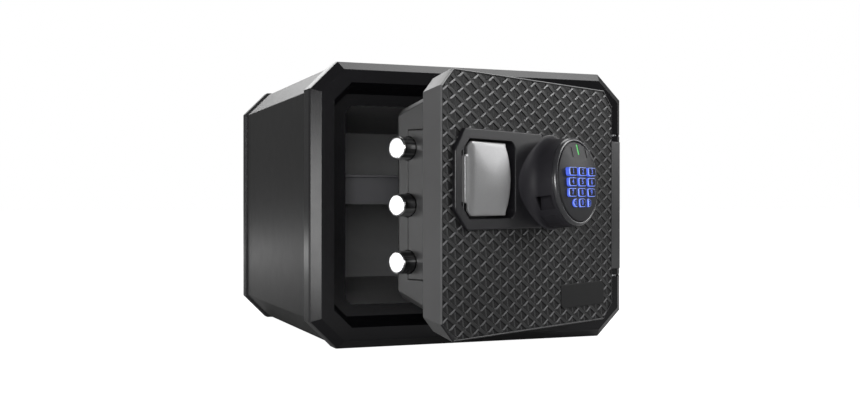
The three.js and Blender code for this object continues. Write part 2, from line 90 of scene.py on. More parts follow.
class Nodes:
    """A material's node tree, with short calls to add and join nodes."""

    def __init__(self, name):
        self.mat = bpy.data.materials.new(name)
        self.mat.use_nodes = True
        self.tree = self.mat.node_tree
        self.shader = self.tree.nodes["Principled BSDF"]
        self.coord = self.add("ShaderNodeTexCoord")

    def add(self, kind, **props):
        node = self.tree.nodes.new(kind)
        for key, value in props.items():
            setattr(node, key, value)
        return node

    def link(self, a, b):
        self.tree.links.new(a, b)

    def drive(self, output, socket):
        """Join an output to one of the shader's own sockets."""
        self.link(output, self.shader.inputs[socket])

    def fix(self, socket, value):
        """Set a number or colour that is the same all over the surface."""
        self.shader.inputs[socket].default_value = value

    def noise(self, scale, detail=4.0, rough=0.6, stretch=(1, 1, 1), turn=0.0):
        mapping = self.add("ShaderNodeMapping", vector_type="TEXTURE")
        mapping.inputs["Scale"].default_value = stretch
        mapping.inputs["Rotation"].default_value = (0.0, 0.0, turn)
        self.link(self.coord.outputs["Object"], mapping.inputs["Vector"])
        node = self.add("ShaderNodeTexNoise")
        node.inputs["Scale"].default_value = scale
        node.inputs["Detail"].default_value = detail
        node.inputs["Roughness"].default_value = rough
        self.link(mapping.outputs["Vector"], node.inputs["Vector"])
        return node.outputs["Fac"]

    def ramp(self, fac, stops):
        node = self.add("ShaderNodeValToRGB")
        for element, (position, colour) in zip(node.color_ramp.elements, stops):
            element.position = position
            element.color = colour
        self.link(fac, node.inputs["Fac"])
        return node.outputs["Color"]

    def spread(self, fac, low, high):
        """Noise to a range of values, from its usual low to its usual high."""
        node = self.add("ShaderNodeMapRange")
        node.inputs["From Min"].default_value = 0.3
        node.inputs["From Max"].default_value = 0.7
        node.inputs["To Min"].default_value = low
        node.inputs["To Max"].default_value = high
        self.link(fac, node.inputs["Value"])
        return node.outputs["Result"]

    def bump(self, height, strength, distance, under=None):
        node = self.add("ShaderNodeBump")
        node.inputs["Strength"].default_value = strength
        node.inputs["Distance"].default_value = distance
        self.link(height, node.inputs["Height"])
        if under is not None:
            self.link(under, node.inputs["Normal"])
        return node.outputs["Normal"]

    def flecked(self, colour, fleck):
        """Mix fine flecks of a second colour into the first."""
        mix = self.add("ShaderNodeMix", data_type="RGBA")
        mask = self.ramp(self.noise(2600.0, 2.0, 0.5), [(0.52, (0, 0, 0, 1)), (0.72, (1, 1, 1, 1))])
        self.link(mask, mix.inputs["Factor"])
        self.link(colour, mix.inputs["A"])
        mix.inputs["B"].default_value = fleck
        return mix.outputs["Result"]


def plastic(name, dark, light, rough, grain=900.0, grain_depth=0.00006, coat=0.0, metal=0.0,
            specular=0.5, cloud=9.0, spread=0.02, fleck=None):
    """Moulded or painted surface: clouded colour, fine grain in the relief and uneven gloss."""
    n = Nodes(name)
    colour = n.ramp(n.noise(cloud, 5.0, 0.55), [(0.3, dark), (0.7, light)])
    n.drive(n.flecked(colour, fleck) if fleck else colour, "Base Color")
    n.drive(n.spread(n.noise(38.0, 6.0, 0.65), rough - spread, rough + spread), "Roughness")
    wide = n.bump(n.noise(26.0, 3.0), 0.05, 0.0006)
    n.drive(n.bump(n.noise(grain, 3.0, 0.7), 0.55, grain_depth, wide), "Normal")
    n.fix("Metallic", metal)
    n.fix("Specular IOR Level", specular)
    if coat:
        n.fix("Coat Weight", coat)
        n.fix("Coat Roughness", 0.22)
    return n.mat


def brushed(name, dark, light, rough, stretch, scale=300.0, turn=0.0, stops=(0.3, 0.7)):
    """Metal with lines along one direction: fine brushing on steel; on the bolts' chrome, broad dark and
    bright bands, a painted reflection.
    """
    n = Nodes(name)
    lines = n.noise(scale, 3.0, 0.6, stretch, turn)
    n.drive(n.ramp(lines, list(zip(stops, (dark, light)))), "Base Color")
    n.drive(n.spread(lines, rough - 0.05, rough + 0.08), "Roughness")
    n.drive(n.bump(lines, 0.18, 0.00003), "Normal")
    n.fix("Metallic", 1.0)
    return n.mat


def glow(name, base, light, strength, rough=0.35):
    """Lit plastic: a body colour with light from inside, both a little uneven."""
    n = Nodes(name)
    n.drive(n.ramp(n.noise(420.0, 3.0), [(0.3, base), (0.7, scaled(base, 1.35))]), "Base Color")
    n.drive(n.ramp(n.noise(150.0, 2.0), [(0.25, scaled(light, 0.7)), (0.75, light)]), "Emission Color")
    n.fix("Emission Strength", strength)
    n.fix("Roughness", rough)
    return n.mat


# Each plastic gives its dark and light colour, its roughness, and its grain's scale and depth.
MATERIALS = {
    "frame": plastic("frame_plastic", srgb(0.05, 0.049, 0.06), srgb(0.07, 0.068, 0.08),
                     0.24, 1500, 0.00003),
    "case": plastic("case_paint", srgb(0.055, 0.055, 0.058), srgb(0.07, 0.07, 0.073), 0.38, 1100, 0.00004,
                    cloud=5.0, spread=0.015),
    "rear": plastic("rear_paint", srgb(0.12, 0.12, 0.13), srgb(0.15, 0.15, 0.16), 0.42, 1100, 0.00004),
    "skin": plastic("door_skin_plastic", srgb(0.045, 0.045, 0.048), srgb(0.06, 0.06, 0.064),
                    0.54, 1600, 0.00003, specular=0.35),
    # Painted highlight: a lighter copy of the skin's plastic on the crests of the / ridges.
    "ridge": plastic("ridge_painted_highlight", srgb(0.33, 0.33, 0.335), srgb(0.46, 0.46, 0.465), 0.27, 1600, 0.00002),
    # Painted highlight, middling: the spines.
    "spine": plastic("spine_painted_highlight", srgb(0.21, 0.21, 0.213), srgb(0.26, 0.26, 0.263),
                     0.34, 1600, 0.00002),
    # Painted highlight, faint: the crests of the \ ridges.
    "ridge_weak_highlight": plastic("ridge_weak_painted_highlight", srgb(0.09, 0.09, 0.093), srgb(0.13, 0.13, 0.133),
                          0.48, 1600, 0.00002),
    "slab": plastic("slab_plastic", srgb(0.34, 0.34, 0.342), srgb(0.38, 0.38, 0.382), 0.3, 1000, 0.00007),
    # Painted highlight: a lighter, glossier copy of the slab's plastic for the upward-facing rounding of
    # the door's front edge.
    "slab_painted_highlight_edge": plastic("slab_edge_plastic", srgb(0.56, 0.56, 0.562), srgb(0.64, 0.64, 0.642),
                         0.3, 1000, 0.00003, specular=0.8),
    "plug": plastic("plug_plastic", srgb(0.2, 0.2, 0.202), srgb(0.24, 0.24, 0.242), 0.4, 1000, 0.00008),
    "console": plastic("console_plastic", srgb(0.092, 0.09, 0.101), srgb(0.11, 0.108, 0.12),
                       0.33, 1500, 0.00004),
    "pod": plastic("pod_plastic", srgb(0.145, 0.14, 0.158), srgb(0.17, 0.165, 0.183),
                   0.58, 1500, 0.00003, specular=0.35),
    "bezel": plastic("bezel_plastic", srgb(0.17, 0.17, 0.182), srgb(0.2, 0.2, 0.212),
                     0.22, 1600, 0.00002, coat=0.7),
    "fascia": plastic("fascia_plastic", srgb(0.125, 0.125, 0.134), srgb(0.15, 0.15, 0.16),
                      0.42, 1500, 0.00003, specular=0.35),
    "paddle": plastic("paddle_paint", srgb(0.6, 0.6, 0.602), srgb(0.64, 0.64, 0.642), 0.36, 1300, 0.00005,
                      metal=0.78, spread=0.01, fleck=srgb(0.72, 0.72, 0.73)),
    # Painted shade: a darker, duller copy of the paddle paint, so the paddle's edges reflect less; the arm
    # behind the paddle is in it too.
    "paddle_shaded_edge": plastic("paddle_edge_paint", srgb(0.36, 0.36, 0.362), srgb(0.42, 0.42, 0.422),
                           0.6, 1300, 0.00004, specular=0.3),
    "liner": plastic("liner_plastic", srgb(0.5, 0.5, 0.505), srgb(0.56, 0.56, 0.565), 0.5, 700, 0.00012),
    "tray": plastic("tray_plastic", srgb(0.3, 0.3, 0.31), srgb(0.35, 0.35, 0.36), 0.45, 900, 0.00008),
    "seal": plastic("seal_rubber", srgb(0.05, 0.05, 0.052), srgb(0.08, 0.08, 0.082), 0.8, 800, 0.0001),
    "fill": plastic("cast_fill", srgb(0.62, 0.6, 0.55), srgb(0.75, 0.73, 0.68), 0.95, 300, 0.0005),
    "plate": plastic("plate_plastic", srgb(0.06, 0.06, 0.063), srgb(0.08, 0.08, 0.083),
                     0.5, 1500, 0.00003, specular=0.3),
    # Painted reflection: broad dark and white bands along the bolts stand for the lights mirrored in their
    # chrome.
    "chrome": brushed("bolt_chrome_painted_reflection", (0.16, 0.16, 0.165, 1), (1.0, 1.0, 1.0, 1), 0.16, (60, 1, 1),
                      scale=110.0, turn=OPEN, stops=(0.46, 0.6)),
    "bolt_end": brushed("bolt_end_steel", (0.8, 0.81, 0.83, 1), (0.95, 0.95, 0.96, 1), 0.32, (1, 1, 1),
                        scale=500.0),
    "steel": brushed("zinc_steel", (0.45, 0.46, 0.48, 1), (0.62, 0.63, 0.65, 1), 0.34, (1, 1, 0.17)),
    "hinge": plastic("hinge_paint", srgb(0.2, 0.2, 0.205), srgb(0.25, 0.25, 0.255), 0.34, 1200, 0.00003),
    "board": plastic("board_green", srgb(0.1, 0.3, 0.17), srgb(0.13, 0.36, 0.2), 0.5, 600, 0.0001),
    "cell": plastic("cell_sleeve", srgb(0.4, 0.43, 0.48), srgb(0.48, 0.51, 0.56), 0.35, 900, 0.00003,
                    metal=0.3),
    "key_top": plastic("key_top_black", srgb(0.03, 0.03, 0.045), srgb(0.05, 0.05, 0.07),
                       0.5, 1500, 0.00002, specular=0.2),
    "key_blue": glow("key_blue_lit", srgb(0.25, 0.33, 0.72), srgb(0.34, 0.46, 0.98), 0.6),
    "key_rim": glow("key_rim_lit", srgb(0.5, 0.58, 0.9), srgb(0.5, 0.62, 1.0), 0.6, 0.25),
    "digit": glow("digit_blue_lit", srgb(0.2, 0.3, 0.7), srgb(0.25, 0.38, 0.85), 0.7),
    "green": glow("led_green_lit", srgb(0.1, 0.4, 0.12), srgb(0.2, 0.75, 0.3), 0.85),
    "lens": plastic("led_dark_lens", srgb(0.05, 0.05, 0.055), srgb(0.07, 0.07, 0.075), 0.4, 1500, 0.00002,
                    specular=0.3),
}


# ---- outlines: flat points, in (s, z) or (x, z) --------------------------
def circle(count):
    """Angles of evenly spaced points round a whole circle."""
    return [2 * math.pi * k / count for k in range(count)]


def arc(start, stop, steps):
    """Angles along part of a circle, both ends included, from degrees."""
    return [math.radians(start + (stop - start) * k / steps) for k in range(steps + 1)]


def leaf_outline(inset, cut):
    """The door's outline, with its corners cut off."""
    s0, s1, z0, z1 = inset, DOOR_W - inset, DOOR_Z0 + inset, DOOR_Z1 - inset
    return [(s0 + cut, z0), (s1 - cut, z0), (s1, z0 + cut), (s1, z1 - cut),
            (s1 - cut, z1), (s0 + cut, z1), (s0, z1 - cut), (s0, z0 + cut)]


def soften(points, radius, steps=4):
    """Round the corners of a closed polygon."""
    out = []
    for i, point in enumerate(points):
        p = Vector(point)
        a, b = Vector(points[i - 1]) - p, Vector(points[(i + 1) % len(points)]) - p
        reach = min(radius, a.length * 0.48, b.length * 0.48)
        start, end = p + a.normalized() * reach, p + b.normalized() * reach
        for k in range(steps + 1):
            u = k / steps
            q = start * (1 - u) ** 2 + p * 2 * u * (1 - u) + end * u ** 2
            out.append((q.x, q.y))
    return out


def inset_poly(points, distance):
    """Move each side of a closed counter-clockwise polygon inwards."""
    shortest, sharpest = 1e-6, 0.35
    out = []
    for i, point in enumerate(points):
        p = Vector(point)
        a = p - Vector(points[i - 1])
        b = Vector(points[(i + 1) % len(points)]) - p
        if a.length < shortest:
            a = b
        if b.length < shortest:
            b = a
        normal_a = Vector((-a.y, a.x)).normalized()
        normal_b = Vector((-b.y, b.x)).normalized()
        mitre = normal_a + normal_b
        if mitre.length > shortest:
            mitre = mitre / max(sharpest, 1 + normal_a.dot(normal_b))
        else:
            mitre = normal_a
        q = p + mitre * distance
        out.append((q.x, q.y))
    return out


def at_depth(points, depth):
    """An outline as a ring of 3-D points, all at one depth of the local frame."""
    return [(a, depth, b) for a, b in points]


def prism(outline, near, far):
    """Two rings: an outline carried straight from one depth to another."""
    return [at_depth(outline, near), at_depth(outline, far)]


# ---- meshes and pieces ---------------------------------------------------
def rings_to_mesh(rings, ends=True, wrap=False):
    """Quads between equal closed rings of 3-D points, with n-gon ends, or wrapped into a loop."""
    n = len(rings[0])
    verts = [p for ring in rings for p in ring]
    faces = []
    for k in range(len(rings) if wrap else len(rings) - 1):
        a, b = k * n, ((k + 1) % len(rings)) * n
        for i in range(n):
            j = (i + 1) % n
            faces.append((a + i, a + j, b + j, b + i))
    if ends and not wrap:
        faces.append(tuple(reversed(range(n))))
        faces.append(tuple(range((len(rings) - 1) * n, len(rings) * n)))
    return verts, faces


def sharpen(mesh, degrees):
    """Smooth the small faces, keep large flat ones flat and keep every edge over the angle sharp."""
    most_corners, largest = 8, 0.00015
    bm = bmesh.new()
    bm.from_mesh(mesh)
    bmesh.ops.recalc_face_normals(bm, faces=bm.faces)
    for face in bm.faces:
        face.smooth = len(face.verts) <= most_corners and face.calc_area() < largest
    limit = math.radians(degrees)
    for edge in bm.edges:
        edge.smooth = len(edge.link_faces) == 2 and edge.calc_face_angle(0.0) < limit
    bm.to_mesh(mesh)
    bm.free()


def add_object(name, data):
    obj = bpy.data.objects.new(name, data)
    bpy.context.scene.collection.objects.link(obj)
    return obj


def declare(obj, body, replaces):
    """Put a piece on the body it rides on and hide the CAD node that it stands in for."""
    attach(obj, body)
    if replaces:
        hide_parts(replaces)


def piece(name, shape, place, body, looks, replaces, sharp=32.0, tags=None):
    """A finished mesh object from local points, riding on a CAD body."""
    verts, faces = shape
    mesh = bpy.data.meshes.new(name)
    mesh.from_pydata([place @ Vector(v) for v in verts], [], faces)
    for look in looks:
        mesh.materials.append(MATERIALS[look])
    if tags:
        mesh.polygons.foreach_set("material_index", tags)
    mesh.update()
    sharpen(mesh, sharp)
    obj = add_object(name, mesh)
    declare(obj, body, replaces)
    return obj


def cutter(rings, place):
    """A plain closed mesh for one boolean, which never stays in the scene."""
    verts, faces = rings_to_mesh(rings)
    mesh = bpy.data.meshes.new("cutter")
    mesh.from_pydata([place @ Vector(v) for v in verts], [], faces)
    bm = bmesh.new()
    bm.from_mesh(mesh)
    bmesh.ops.recalc_face_normals(bm, faces=bm.faces)
    bm.to_mesh(mesh)
    bm.free()
    return add_object("cutter", mesh)


def combine(obj, rings, place, operation="DIFFERENCE"):
    """Cut a closed form out of a piece, or join it on, and keep only the result."""
    other = cutter(rings, place)
    modifier = obj.modifiers.new("cut", "BOOLEAN")
    modifier.object = other
    modifier.operation = operation
    modifier.solver = "EXACT"
    depsgraph = bpy.context.evaluated_depsgraph_get()
    result = bpy.data.meshes.new_from_object(obj.evaluated_get(depsgraph))
    obj.modifiers.remove(modifier)
    before, spent = obj.data, other.data
    obj.data = result
    bpy.data.objects.remove(other)
    bpy.data.meshes.remove(before)
    bpy.data.meshes.remove(spent)


# ---- carried-over CAD nodes ----------------------------------------------
WELD_GAP = 0.00008
FLAT_ANGLE, EDGE_ANGLE = math.radians(2.0), math.radians(25.0)


def keep_node(node, look, round_edge):
    """Keep a CAD node, with its own material and softly rounded edges."""
    obj = frame["nodes"][node]
    obj.data.materials.clear()
    obj.data.materials.append(MATERIALS[look])
    if round_edge:
        weld = obj.modifiers.new("weld", "WELD")
        weld.merge_threshold = WELD_GAP
        flat = obj.modifiers.new("flat", "DECIMATE")
        flat.decimate_type = "DISSOLVE"
        flat.angle_limit = FLAT_ANGLE
        edge = obj.modifiers.new("edge", "BEVEL")
        edge.width = round_edge
        edge.segments = 3
        edge.limit_method = "ANGLE"
        edge.angle_limit = EDGE_ANGLE
        edge.harden_normals = True
        edge.use_clamp_overlap = True


# Each kept node's material and the width of its rounded edges, in metres.
KEPT_NODES = {
    "front_frame": ("frame", 0.0018), "case_shell": ("case", 0.0009), "rear_cover": ("rear", 0.0018),
    "inner_liner": ("liner", 0.0), "case_insulation": ("fill", 0.0), "hinge_pin_lower": ("steel", 0.0),
    "hinge_pin_upper": ("steel", 0.0), "tray": ("tray", 0.0008), "door_core": ("fill", 0.0),
    "door_plug": ("plug", 0.0014), "plug_core": ("fill", 0.0), "bolt_cover": ("plug", 0.001),
    "door_gasket": ("seal", 0.0006), "hinge_bar": ("hinge", 0.0008), "pry_bar": ("steel", 0.001),
    "solenoid_body": ("steel", 0.0006), "paddle_pin": ("console", 0.0), "bolt_bar": ("steel", 0.0006),
    "solenoid_plunger": ("steel", 0.0004), "circuit_board": ("board", 0.0),
    "battery_drawer": ("pod", 0.0005),
}
for number in range(1, 5):
    KEPT_NODES[f"plug_screw_{number}"] = ("steel", 0.0003)
    KEPT_NODES[f"battery_cell_{number}"] = ("cell", 0.0006)
for node, (look, round_edge) in KEPT_NODES.items():
    keep_node(node, look, round_edge)

# ---- door slab -----------------------------------------------------------
# The handle well's left side, cut corners and right side, then its heights from low to high.
WELL_S = (29.3, 43.0, 125.0)
WELL_Z = (160.6, 175.0, 232.0, 246.5)
WELL_ROUND = 10.0

# Depth, inset and corner cut of each ring, from the slab's back face round to its recessed front.
SLAB_PROFILE = ((34.5, 10.2, 15.5), (33.8, 9.3, 15.9), (32.6, 8.7, 16.1), (12.0, 3.0, 18.6),
                (1.8, 0.25, 19.9), (0.8, 0.6, 19.7), (0.25, 0.9, 19.6), (0.0, 1.5, 19.3),
                (0.2, 2.1, 19.0), (1.9, 2.3, 18.9))


def well_outline(grow):
    """Handle well: corners cut off on its free side and rounded on the other."""
    left, cut, right = WELL_S
    low, cut_low, cut_high, high = WELL_Z
    points = [(cut - grow * 0.4, low - grow)]
    for centre_z, start in ((low + WELL_ROUND, -90), (high - WELL_ROUND, 0)):
        for a in arc(start, start + 90, 6):
            points.append((right - WELL_ROUND + (WELL_ROUND + grow) * math.cos(a),
                           centre_z + (WELL_ROUND + grow) * math.sin(a)))
    points += [(cut - grow * 0.4, high + grow), (left - grow, cut_high + grow * 0.4),
               (left - grow, cut_low - grow * 0.4)]
    return points


def door_slab():
    """The slab; its front rounding has a painted highlight, a lighter plastic, where it faces up, and
    painted shade, the dark console plastic, where it faces down.
    """
    side, front, edge = range(3)
    rings = [at_depth(leaf_outline(inset, cut), depth) for depth, inset, cut in SLAB_PROFILE]
    n = len(rings[0])
    middle = (DOOR_Z0 + DOOR_Z1) / 2
    # Each face of the front rounding: painted highlight above the door's middle, painted shade below it,
    # the slab's own plastic at the sides.
    rounding = []
    for (_, _, za), (_, _, zb) in zip(rings[0], rings[0][1:] + rings[0][:1]):
        rounding.append(edge if min(za, zb) > middle else front if max(za, zb) < middle else side)
    tags = [side] * (4 * n) + rounding * 3 + [front] * (2 * n) + [side, front]
    slab = piece("door_slab", rings_to_mesh(rings), LEAF, "door", ["slab", "console", "slab_painted_highlight_edge"],
                 "door_shell", 28, tags)
    combine(slab, prism(well_outline(1.9), -2, 26), LEAF)
    sharpen(slab.data, 28)


door_slab()

# ---- door skin: raised diamond lattice -----------------------------------
CELL_W, CELL_H = 26.4, 16.35
FIRST_S, FIRST_Z = 23.75, 130.0
COLUMNS, ROWS = range(-2, 27), range(-8, 14)
PAST_S, PAST_Z = 14, 9
SKIN_FRONT, SKIN_BACK = 0.1, 1.85
RIDGE = 0.9
CORNER_DEPTH = 0.15
SPINE_HALF, SPINE_HIGH, SPINE_ENDS = 1.2, 0.6, (0.1, 0.9)

# Half widths of the / and \ ridges, on their crests and at the feet of their slopes.
CREST, FOOT = (1.15, 1.9), (1.75, 2.7)

# Looks of the lattice's faces, in the order of the skin's material slots: plain skin, then painted
# highlights, strong on the / ridges' crests, faint on the \ ridges' crests, middling on the spines.
PLAIN, PAINTED_HIGHLIGHT, PAINTED_WEAK_HIGHLIGHT, SPINE = range(4)


def diamond(s, z, widths):
    """A cell's four corners, from the top anticlockwise, with its sides moved in by the widths."""
    corners = [Vector((s, z + CELL_H / 2)), Vector((s - CELL_W / 2, z)),
               Vector((s, z - CELL_H / 2)), Vector((s + CELL_W / 2, z))]
    lines = []
    for k in range(4):
        along = (corners[(k + 1) % 4] - corners[k]).normalized()
        inward = Vector((-along.y, along.x))
        lines.append((corners[k] + inward * widths[k % 2], along))
    inner = []
    for k in range(4):
        (p, d), (q, e) = lines[k - 1], lines[k]
        inner.append(p + d * ((q - p).cross(e) / d.cross(e)))
    return inner


def cell_ring(s, z, widths, depth, corner_depth):
    """A ring round a cell, whose / ridges sink to the floor short of two of its corners."""
    inner = diamond(s, z, widths)
    level = ((0.1, depth), (0.9, depth))
    sinking, rising = ((0.66, depth), (0.74, RIDGE)), ((0.26, RIDGE), (0.34, depth))
    ring = []
    for k, stops in enumerate((sinking, level, rising, level)):
        a, b = inner[k], inner[(k + 1) % 4]
        ring.append((a.x, corner_depth, a.y))
        for share, at in stops:
            q = a.lerp(b, share)
            ring.append((q.x, at, q.y))
    return ring


def lattice_cell(s, z):
    """One diamond: half of each of its four ridges, their slopes, and a low spine down its middle."""
    rings = [cell_ring(s, z, (0.0, 0.0), 0.0, CORNER_DEPTH), cell_ring(s, z, CREST, 0.0, CORNER_DEPTH),
             cell_ring(s, z, FOOT, RIDGE, RIDGE)]
    verts, faces = rings_to_mesh(rings, ends=False)
    n = len(rings[0])
    # The / ridges' crests take the strong painted highlight, the \ ridges' crests the faint one.
    tags = [PAINTED_HIGHLIGHT, PAINTED_HIGHLIGHT, PLAIN, PAINTED_WEAK_HIGHLIGHT, PAINTED_WEAK_HIGHLIGHT, PAINTED_WEAK_HIGHLIGHT, PLAIN, PAINTED_HIGHLIGHT, PAINTED_HIGHLIGHT, PAINTED_WEAK_HIGHLIGHT, PAINTED_WEAK_HIGHLIGHT, PAINTED_WEAK_HIGHLIGHT] + [PLAIN] * n
    top, foot = 2 * n, 2 * n + n // 2
    start = len(verts)
    for share in SPINE_ENDS:
        q = Vector(verts[top]).lerp(Vector(verts[foot]), share)
        verts += [(q.x - SPINE_HALF, RIDGE, q.z), (q.x, RIDGE - SPINE_HIGH, q.z),
                  (q.x + SPINE_HALF, RIDGE, q.z)]
    top_left, top_mid, top_right, low_left, low_mid, low_right = range(start, start + 6)
    faces += [tuple(range(top, foot + 1)) + (low_left, top_left),
              tuple(range(foot, top + n)) + (top, top_right, low_right),
              (top_left, low_left, low_mid, top_mid), (top_mid, low_mid, low_right, top_right),
              (top, top_left, top_mid), (top, top_mid, top_right),
              (foot, low_mid, low_left), (foot, low_right, low_mid)]
    return verts, faces, tags + [PLAIN, PLAIN, SPINE, SPINE] + [PLAIN] * 4


def lattice():
    """Cells over the whole door and a little past its outline."""
    verts, faces, tags = [], [], []
    for i in COLUMNS:
        for j in ROWS:
            s = FIRST_S + i * CELL_W / 2
            z = FIRST_Z + (j + 0.5 - (i % 2) * 0.5) * CELL_H
            if -PAST_S < s < DOOR_W + PAST_S and DOOR_Z0 - PAST_Z < z < DOOR_Z1 + PAST_Z:
                cell_verts, cell_faces, cell_tags = lattice_cell(s, z)
                tags += cell_tags
                faces += [tuple(len(verts) + k for k in face) for face in cell_faces]
                verts += [(a, SKIN_FRONT + b, c) for a, b, c in cell_verts]
    return verts, faces, tags


def under_another_piece(s, z):
    """True where the console, the pod or the name plate hides the skin, a little inside its outline."""
    left, right, low, high = 26.0, 183.0, 155.0, 251.0
    middle, straight, slope = 202.0, 28.0, 0.9
    console = left < s < right and low < z < high and s - left > (abs(z - middle) - straight) * slope
    half_wide, half_tall = 42.0, 49.0
    pod = ((s - POD_S) / half_wide) ** 2 + ((z - POD_Z) / half_tall) ** 2 < 1.0
    plate = PLATE_S0 + 7 < s < PLATE_S1 - 5 and PLATE_Z0 + 5 < z < PLATE_Z1 - 5
    return console or pod or plate


def trim_to_outline(bm, outline):
    """Cut away what lies outside each side of a convex outline."""
    for k, (s, z) in enumerate(outline):
        next_s, next_z = outline[(k + 1) % len(outline)]
        outward = Vector((next_z - z, 0.0, s - next_s)).normalized()
        bmesh.ops.bisect_plane(bm, geom=list(bm.verts) + list(bm.edges) + list(bm.faces), dist=0.0001,
                               plane_co=(s, 0, z), plane_no=outward, clear_outer=True)


def door_skin():
    """The lattice trimmed to the door, open under other pieces, with its rim turned inwards."""
    join_gap, sharp = 0.002, math.radians(24)
    verts, faces, tags = lattice()
    mesh = bpy.data.meshes.new("door_skin")
    mesh.from_pydata([Vector(v) for v in verts], [], faces)
    mesh.polygons.foreach_set("material_index", tags)
    bm = bmesh.new()
    bm.from_mesh(mesh)
    bmesh.ops.remove_doubles(bm, verts=bm.verts, dist=join_gap)
    trim_to_outline(bm, leaf_outline(2.5, 18.8))
    centres = [(face, face.calc_center_median()) for face in bm.faces]
    hidden = [face for face, centre in centres if under_another_piece(centre.x, centre.z)]
    bmesh.ops.delete(bm, geom=hidden, context="FACES")
    rim = [edge for edge in bm.edges if len(edge.link_faces) == 1]
    for item in bmesh.ops.extrude_edge_only(bm, edges=rim)["geom"]:
        if isinstance(item, bmesh.types.BMVert):
            item.co.y = SKIN_BACK
    bm.transform(LEAF)
    bmesh.ops.recalc_face_normals(bm, faces=bm.faces)
    for face in bm.faces:
        face.smooth = True
    for edge in bm.edges:
        edge.smooth = len(edge.link_faces) == 2 and edge.calc_face_angle(0.0) < sharp
    bm.to_mesh(mesh)
    bm.free()
    # The skin's plastic, then the painted highlights of the / crests, the \ crests and the spines.
    for look in ("skin", "ridge", "ridge_weak_highlight", "spine"):
        mesh.materials.append(MATERIALS[look])
    declare(add_object("door_skin", mesh), "door", "door_panel")


door_skin()

# ---- blank name plate ----------------------------------------------------
def name_plate():
    """A plain plate with two small cut corners, in place of any mark."""
    cut_low, cut_high = 4, 5
    outline = soften([(PLATE_S0 + cut_low, PLATE_Z0), (PLATE_S1, PLATE_Z0),
                      (PLATE_S1, PLATE_Z1 - cut_high), (PLATE_S1 - cut_high, PLATE_Z1),
                      (PLATE_S0, PLATE_Z1), (PLATE_S0, PLATE_Z0 + cut_low)], 2.0)
    rings = [at_depth(outline, 1.9), at_depth(outline, -0.1),
             at_depth(inset_poly(outline, 0.4), -0.5), at_depth(inset_poly(outline, 1.2), -0.6)]
    piece("name_plate", rings_to_mesh(rings), LEAF, "door", ["plate"], "nameplate")


name_plate()

# ---- console with its handle well ----------------------------------------
# The console's left side, cut corners and right end, then its heights from low to high.
CONSOLE_S = (18.4, 35.0, 38.8, 178.0)
CONSOLE_Z = (148.0, 169.6, 234.2, 258.4)

# Depth and inset of each ring, from the console's foot in the skin out to its face.
CONSOLE_EDGE = ((2.0, 0.0), (-2.4, 0.0), (-3.2, 0.25), (-3.8, 0.8), (-4.0, 1.6))

# Growth and depth of each ring of the well's mouth, from in front of the console to the well's floor.
WELL_MOUTH = ((1.4, -4.3), (0.9, -3.9), (0.3, -3.3), (0.0, -2.4), (-1.2, 20.5), (-2.6, 21.8))


def edged(outline):
    """Rings of an outline with the console's rounded edge."""
    return [at_depth(inset_poly(outline, inset), depth) for depth, inset in CONSOLE_EDGE]


def console_plate():
    """A panel and an oval pad joined into one, with the handle well sunk into it."""
    left, cut_high, cut_low, right = CONSOLE_S
    low, side_low, side_high, high = CONSOLE_Z
    panel = soften([(cut_low, low), (right, low), (right, high), (cut_high, high), (left, side_high),
                    (left, side_low)], 3.0, 4)
    pad_rs, pad_rz, pad_z = POD_RX + 2.6, POD_RZ + 4.0, POD_Z + 0.4
    oval = [(POD_S + pad_rs * math.cos(a), pad_z + pad_rz * math.sin(a)) for a in circle(96)]
    body = piece("console_plate", rings_to_mesh(edged(panel)), LEAF, "door", ["console"],
                 "console", 25)
    combine(body, edged(oval), LEAF, "UNION")
    wall, well_back = 1.6, 24.0
    combine(body, prism(well_outline(wall), -2.0, well_back), LEAF, "UNION")
    combine(body, [at_depth(well_outline(grow), depth) for grow, depth in WELL_MOUTH], LEAF)
    arm_slot = [(30.5, 186.0), (61.0, 186.0), (61.0, 212.0), (30.5, 212.0)]
    combine(body, prism(arm_slot, 18.0, well_back + 2.0), LEAF)
    sharpen(body.data, 25)


console_plate()

# ---- keypad pod and bezel ------------------------------------------------
POD_RADIUS = 51.9
INNER_RADIUS = 49.2
CONSOLE_FACE = 4.15

# The flare's least width and lift, and what it gains in lift, towards the handle and at the top.
FLARE, FLARE_LIFT, FLARE_LEFT, FLARE_UP = 2.0, 13.0, 21.0, 2.4

# Boxes cut out of the pod and the fascia: x from and to, z from and to, y from and to.
SIDE_NOTCH = (-60, -33, 15.5, 31, -30.0, -9.5)
DRAWER_SLOT = (-30.8, 30.8, 20, 60, -33.5, -13.0)
KEY_HOLLOW = (-34, 34, -20.5, 33, -10.0, -2.4)

# Half height and depth of each ring of the bezel's section.
BEZEL_PROFILE = ((46.9, -5.7), (51.9, -5.7), (52.0, -5.0), (51.9, -3.8), (51.4, -2.4), (50.6, -1.2),
                 (49.6, -0.3), (48.6, 0.15), (47.8, 0.1), (47.2, -0.3), (46.9, -1.0))


def oval_ring(radius, y):
    """Ellipse in the pod's frame; the radius is its half height."""
    width = radius * POD_RX / POD_RZ
    return [(width * math.cos(a), y, radius * math.sin(a)) for a in circle(144)]


def pod_foot(radius):
    """Foot of the pod, where its slanted end meets the front of the console."""
    return [(x, (POD_T + CONSOLE_FACE - z * math.sin(TILT)) / math.cos(TILT), z)
            for x, _, z in oval_ring(radius, 0.0)]


